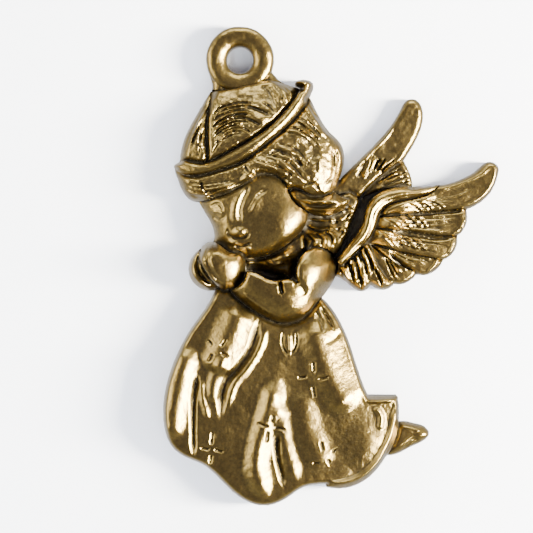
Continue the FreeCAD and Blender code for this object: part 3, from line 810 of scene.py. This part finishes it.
def even_border(values, edges):
    """Smooths the values along the border, whose points are unequally far apart."""
    border = np.unique(edges)
    for _ in range(3):
        beside_it = np.bincount(edges[:, 0], values[edges[:, 1]], len(values))
        beside_it += np.bincount(edges[:, 1], values[edges[:, 0]], len(values))
        values[border] = 0.5 * values[border] + 0.25 * beside_it[border]
    return values


def cell_points(element, grid):
    """Which points the piece keeps, where they sit, and how high they are."""
    label = grid.label[element.rows, element.cols]
    kind = element.kind[element.which]
    tucked = (label > element.rank) & (element.phi > -TUCK)
    clearance = np.where(kind == "flush", FLUSH_CLEARANCE, TUCK_CLEARANCE)
    free = (kind != "under") & (kind != "inner")
    snapped = free & (np.abs(element.phi) < SNAP)
    keep = (label == element.rank) | tucked | snapped
    x = np.where(snapped, element.near[..., 0], element.x)
    z = np.where(snapped, element.near[..., 1], element.z)
    covered = tucked & (label != element.rank) & ~snapped
    above = grid.height[element.rows, element.cols]
    height = np.where(covered, np.minimum(element.height, above - clearance), element.height)
    return keep, snapped, covered, x, z, np.maximum(height, LEAST_HEIGHT)


def relief_piece(element, grid, hollow):
    """A closed casting: the sculpted front, walls, and the flat back."""
    keep, snapped, covered, x, z, height = cell_points(element, grid)
    ids = np.arange(keep.size).reshape(keep.shape)
    triangles = grid_triangles(keep, ids)
    stuck = snapped.ravel()[triangles].all(axis=1)
    outside = element.phi.ravel()[triangles].mean(axis=1) < 0
    triangles = without_pinches(triangles[~(stuck & outside)], keep.size)
    used = np.unique(triangles)
    place = np.full(keep.size, -1)
    place[used] = np.arange(len(used))
    triangles = place[triangles]
    edges = border_edges(triangles)

    x, z, height = (even_border(values.ravel()[used], edges) for values in (x, z, height))
    wave = BACK_WAVE * (1 + value_noise(x, z, 2.5, 7))
    lift = wave + TUCKED_BASE_LIFT * covered.ravel()[used]
    front = np.column_stack([x, BACK - height, z])
    back = np.column_stack([x, BACK - lift, z])

    n = len(used)
    mesh = bpy.data.meshes.new(element.name)
    walls = np.column_stack([edges[:, 1], edges[:, 0], edges[:, 0] + n, edges[:, 1] + n])
    faces = triangles.tolist() + (triangles[:, ::-1] + n).tolist() + walls.tolist()
    mesh.from_pydata((np.vstack([front, back]) * MM).tolist(), [], faces)
    tarnish = element.look.tarnish + hollow[element.rows, element.cols].ravel()[used]
    return finish_mesh(element.name, mesh, np.concatenate([tarnish, np.full(n, BACK_PATINA)]))


def put(name, data):
    """A new object in the scene."""
    made = bpy.data.objects.new(name, data)
    bpy.context.scene.collection.objects.link(made)
    return made


def finish_mesh(name, mesh, patina):
    """Gives a mesh its patina and its shading, and puts it in the scene."""
    values = mesh.attributes.new("hollow", "FLOAT", "POINT").data
    values.foreach_set("value", patina.astype(np.float32))
    mesh.validate()
    mesh.shade_smooth()
    mesh.set_sharp_from_angle(angle=SHARP_ANGLE)
    return put(name, mesh)


# ---- the hanging eye ----

EYE_RADIUS = 2.55
HOLE_RADIUS = 0.98
# Radius at which the eye is thickest.
EYE_CREST = 1.85
EYE_THICKNESS = 1.9
EYE_STEPS = 128
HOLE_PATINA = 0.5


def eye_section():
    """Points round the eye's section, as distances from the hole's axis and from mid-thickness.

    It is a full round band, funnelled towards the hole.
    """
    half = EYE_THICKNESS / 2
    outer = EYE_RADIUS - EYE_CREST
    inner = (EYE_CREST - HOLE_RADIUS) / 0.966
    section = []
    for angle in np.radians(np.linspace(0, 90, 12)):
        section.append((EYE_CREST + outer * math.cos(angle) ** 0.8, half * math.sin(angle) ** 0.75))
    for angle in np.radians(np.linspace(90, 165, 10))[1:]:
        section.append((EYE_CREST + inner * math.cos(angle), half * math.sin(angle) ** 0.75))
    return section + [(r, -y) for r, y in reversed(section[1:])]


def hanging_eye(name):
    """The eye turned round its hole, with the slight unevenness of a casting."""
    section = np.array(eye_section())
    angle = np.linspace(0, 2 * math.pi, EYE_STEPS, endpoint=False)[:, None]
    wobble = 1 + 0.006 * np.sin(3 * angle + 0.6) + 0.004 * np.sin(7 * angle)
    radius = section[:, 0] * np.where(section[:, 0] > 1.8, wobble, 1)
    x, z = radius * np.cos(angle), radius * np.sin(angle)
    lumps = 1 + 0.03 * value_noise(x, z, 0.5, 8) + 0.015 * value_noise(x, z, 0.22, 9)
    places = np.stack([x, section[:, 1] * lumps, z], axis=2)
    count = len(section)
    ids = np.arange(EYE_STEPS * count).reshape(EYE_STEPS, count)
    after, across = np.roll(ids, -1, axis=0), np.roll(ids, -1, axis=1)
    both = np.roll(after, -1, axis=1)
    faces = np.stack([ids, across, both, after], axis=2).reshape(-1, 4)
    mesh = bpy.data.meshes.new(name)
    mesh.from_pydata((places.reshape(-1, 3) * MM).tolist(), [], faces.tolist())
    patina = np.where(section[:, 0] < HOLE_RADIUS + 0.05, HOLE_PATINA, 0.0)
    return finish_mesh(name, mesh, np.tile(patina, EYE_STEPS))


def join(pieces):
    """Makes the pieces one object."""
    bpy.ops.object.select_all(action="DESELECT")
    for piece in pieces:
        piece.select_set(True)
    bpy.context.view_layer.objects.active = pieces[0]
    bpy.ops.object.join()
    return pieces[0]


# ---- antique gold ----

# Clean gold, by its grain, and what the patina multiplies it by as it goes from none to full.
GOLD = [(0.35, (0.135, 0.092, 0.027)), (0.65, (0.23, 0.16, 0.044))]
PATINA = [(0.0, (1.0, 1.0, 1.0)), (0.28, (0.72, 0.74, 0.84)),
          (0.55, (0.30, 0.34, 0.55)), (0.9, (0.26, 0.31, 0.62))]
# How metallic and how rough the surface is, by its patina.
METALLIC = [(0.0, 1.0), (0.5, 0.95), (1.0, 0.45)]
SURFACE_ROUGHNESS = [(0.0, 0.29), (0.35, 0.33), (0.8, 0.5)]
# Blotches added to the patina: strength and offset.
MOTTLE = (0.9, -0.42)
# Depth of the fine pits, in metres.
PIT_DEPTH = 0.00003


def node(tree, kind, **settings):
    made = tree.nodes.new(kind)
    for key, value in settings.items():
        setattr(made, key, value)
    return made


def dial(made, **values):
    """Sets a node's inputs. In an input's name, _ stands for a space."""
    for key, value in values.items():
        made.inputs[key.replace("_", " ")].default_value = value


def ramp(tree, source, stops):
    made = node(tree, "ShaderNodeValToRGB")
    tree.links.new(source, made.inputs["Fac"])
    elements = made.color_ramp.elements
    while len(elements) < len(stops):
        elements.new(0.5)
    for element, (position, colour) in zip(elements, stops):
        element.position = position
        element.color = (*colour, 1)
    return made.outputs["Color"]


def grain(tree, space, scale, detail=3, roughness=0.55):
    made = node(tree, "ShaderNodeTexNoise")
    dial(made, Scale=scale, Detail=detail, Roughness=roughness)
    tree.links.new(space, made.inputs["Vector"])
    return made.outputs["Fac"]


def grey_ramp(tree, source, stops):
    return ramp(tree, source, [(position, (value, value, value)) for position, value in stops])


def antique_gold():
    """Polished gold plate, browned and nearly black where the hollows keep their patina."""
    material = bpy.data.materials.new("antique_gold")
    material.use_nodes = True
    tree = material.node_tree
    tree.nodes.clear()
    link = tree.links.new
    shader = node(tree, "ShaderNodeBsdfPrincipled")
    output = node(tree, "ShaderNodeOutputMaterial")
    link(shader.outputs["BSDF"], output.inputs["Surface"])
    space = node(tree, "ShaderNodeTexCoord").outputs["Object"]

    hollow = node(tree, "ShaderNodeAttribute", attribute_name="hollow").outputs["Fac"]
    mottle = grain(tree, space, 4200, 4, 0.7)
    spread = node(tree, "ShaderNodeMath", operation="MULTIPLY_ADD")
    link(mottle, spread.inputs[0])
    spread.inputs[1].default_value = MOTTLE[0]
    spread.inputs[2].default_value = MOTTLE[1]
    patina = node(tree, "ShaderNodeMath", operation="ADD", use_clamp=True)
    link(hollow, patina.inputs[0])
    link(spread.outputs[0], patina.inputs[1])

    gold = ramp(tree, grain(tree, space, 2600, 5, 0.8), GOLD)
    brown = ramp(tree, patina.outputs[0], PATINA)
    colour = node(tree, "ShaderNodeMix", data_type="RGBA", blend_type="MULTIPLY")
    dial(colour, Factor=1)
    link(gold, colour.inputs["A"])
    link(brown, colour.inputs["B"])
    link(colour.outputs["Result"], shader.inputs["Base Color"])

    metallic = grey_ramp(tree, patina.outputs[0], METALLIC)
    link(metallic, shader.inputs["Metallic"])
    roughness = grey_ramp(tree, patina.outputs[0], SURFACE_ROUGHNESS)
    link(roughness, shader.inputs["Roughness"])

    pits = node(tree, "ShaderNodeBump")
    dial(pits, Strength=0.8, Distance=PIT_DEPTH)
    link(grain(tree, space, 6000, 3, 0.65), pits.inputs["Height"])
    link(pits.outputs["Normal"], shader.inputs["Normal"])
    return material


# ---- the figure ----

GRID_MARGIN = 0.6
# Patina of level metal, and how it deepens in small and in broad hollows: size in grid steps, strength.
LEVEL_PATINA = 0.16
HOLLOW_SIZES = [(3, 3.0), (10, 0.3)]


def make_relief():
    """All the sculpted elements, labelled and given their heights on one grid."""
    low, high = (np.array([corner[0], corner[2]]) / MM for corner in CAD_BOX)
    grid = Grid(low - GRID_MARGIN, high + GRID_MARGIN)
    elements = []
    for name in ELEMENTS:
        segments = closed_segments(EYE_FOOT) if name == "eye_foot" else back_outline(name)
        element = Element(name, segments, grid)
        window = grid.label[element.rows, element.cols]
        window[element.phi > 0] = element.rank
        elements.append(element)
    close_gaps(grid, elements)
    for element in elements:
        element.sort_border(grid)
    rims = np.vstack([element.segments[element.kind == "rim"] for element in elements])
    for element in elements:
        element.height = sculpt(element, rims)
        mine = grid.label[element.rows, element.cols] == element.rank
        grid.height[element.rows, element.cols][mine] = element.height[mine]
    return grid, elements


def hollows(grid):
    """0 on proud, polished places and 1 deep in the hollows."""
    patina = LEVEL_PATINA
    for cells, strength in HOLLOW_SIZES:
        patina = patina + strength * (blurred(grid.height, cells) - grid.height)
    return np.clip(patina, 0, 1)


def make_pieces():
    """One finished casting for every CAD node, each standing for its node."""
    grid, elements = make_relief()
    hollow = hollows(grid)
    gold = antique_gold()
    pieces = {element.name: relief_piece(element, grid, hollow) for element in elements}
    foot = pieces.pop("eye_foot")
    pieces["suspension_eye"] = join([hanging_eye("suspension_eye_cast"), foot])
    for name, piece in pieces.items():
        piece.name = name + "_cast"
        piece.data.materials.append(gold)
        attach(piece, "root")
        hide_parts(name)
    return pieces


# ---- stage, lights and camera ----

# The middle of the view in x and z, its width, and how far away the camera is.
CENTRE = (1.99, -15.45)
FRAME_WIDTH = 39.98
CAMERA_AWAY = 150.0
SENSOR = 36.0
# The floor is this far below the object, and the card that it lies against this far behind it.
FLOOR_DROP = 6.0
FLOOR_SIZE = 1200
CARD_GAP = 0.05
CARD_SIZE = 420
# The card carries on below the floor by this much.
CARD_OVERLAP = 5
# name, place, size, watts, colour
LIGHTS = [
    ("key", (190, -105, -75), (110, 160), 26.0, (1.0, 0.93, 0.80)),
    ("left", (-190, -60, 10), (110, 170), 0.85, (1.0, 0.95, 0.85)),
    ("above", (10, -70, 190), (200, 50), 0.9, (0.98, 0.99, 1.0)),
]
# The room's strength before the object and behind it. The dim side is what flat metal reflects.
ROOM_STRENGTH = (0.4, 1.9)


def plane(name, size, place, turn, material):
    """A square sheet of the stage."""
    half = size * MM / 2
    mesh = bpy.data.meshes.new(name)
    mesh.from_pydata([(-half, -half, 0), (half, -half, 0), (half, half, 0), (-half, half, 0)], [],
                     [(0, 1, 2, 3)])
    mesh.materials.append(material)
    made = put(name, mesh)
    made.location = Vector(place) * MM
    made.rotation_euler = turn
    return made


def pale_paper(name, one_sided):
    """Matt pale paper. A one-sided sheet can't be seen from behind."""
    material = bpy.data.materials.new(name)
    material.use_nodes = True
    tree = material.node_tree
    shader = tree.nodes["Principled BSDF"]
    dial(shader, Base_Color=(0.87, 0.91, 0.98, 1), Roughness=0.9, Specular_IOR_Level=0.1)
    if one_sided:
        link = tree.links.new
        clear = node(tree, "ShaderNodeBsdfTransparent")
        mix = node(tree, "ShaderNodeMixShader")
        behind = node(tree, "ShaderNodeNewGeometry").outputs["Backfacing"]
        link(behind, mix.inputs["Fac"])
        link(shader.outputs["BSDF"], mix.inputs[1])
        link(clear.outputs["BSDF"], mix.inputs[2])
        link(mix.outputs["Shader"], tree.nodes["Material Output"].inputs["Surface"])
    return material


def area_light(name, place, size, watts, colour):
    """A soft light aimed at the middle of the view."""
    data = bpy.data.lights.new(name, "AREA")
    data.shape = "RECTANGLE"
    data.size, data.size_y = size[0] * MM, size[1] * MM
    data.energy = watts
    data.color = colour
    light = put(name, data)
    light.location = Vector(place) * MM
    aim = Vector((CENTRE[0], 0, CENTRE[1]))
    towards = (aim - Vector(place)).to_track_quat("-Z", "Y")
    light.rotation_euler = towards.to_euler()


def make_stage():
    floor_z = CAD_BOX[0][2] / MM - FLOOR_DROP
    card_z = floor_z + CARD_SIZE / 2 - CARD_OVERLAP
    floor = plane("floor", FLOOR_SIZE, (0, 0, floor_z), (0, 0, 0), pale_paper("floor_paper", False))
    card = plane("card", CARD_SIZE, (0, BACK + CARD_GAP, card_z), (math.radians(90), 0, 0),
                 pale_paper("card_paper", True))
    floor.visible_glossy = False
    card.visible_glossy = False
    for light in LIGHTS:
        area_light(*light)
    make_room()


def make_room():
    """The light that comes from all round: white behind the object, dimmer and cooler before it."""
    world = bpy.data.worlds.new("pale_room")
    bpy.context.scene.world = world
    world.use_nodes = True
    tree = world.node_tree
    direction = node(tree, "ShaderNodeTexCoord").outputs["Generated"]
    split = node(tree, "ShaderNodeSeparateXYZ")
    tree.links.new(direction, split.inputs[0])
    facing = node(tree, "ShaderNodeMapRange")
    dial(facing, From_Min=-1, From_Max=1, To_Min=ROOM_STRENGTH[0], To_Max=ROOM_STRENGTH[1])
    tree.links.new(split.outputs["Y"], facing.inputs["Value"])
    tree.links.new(facing.outputs[0], tree.nodes["Background"].inputs["Strength"])
    tint = ramp(tree, facing.outputs[0], [(0.4, (0.50, 0.51, 1.0)), (0.8, (0.97, 0.98, 1.0))])
    tree.links.new(tint, tree.nodes["Background"].inputs["Color"])


def make_camera():
    data = bpy.data.cameras.new("camera")
    data.sensor_width = SENSOR
    data.lens = SENSOR * CAMERA_AWAY / FRAME_WIDTH
    data.clip_start = 0.001
    data.clip_end = 10
    camera = put("camera", data)
    camera.location = Vector((CENTRE[0], -CAMERA_AWAY, CENTRE[1])) * MM
    camera.rotation_euler = (math.radians(90), 0, 0)
    bpy.context.scene.camera = camera


make_camera()
make_stage()
make_pieces()
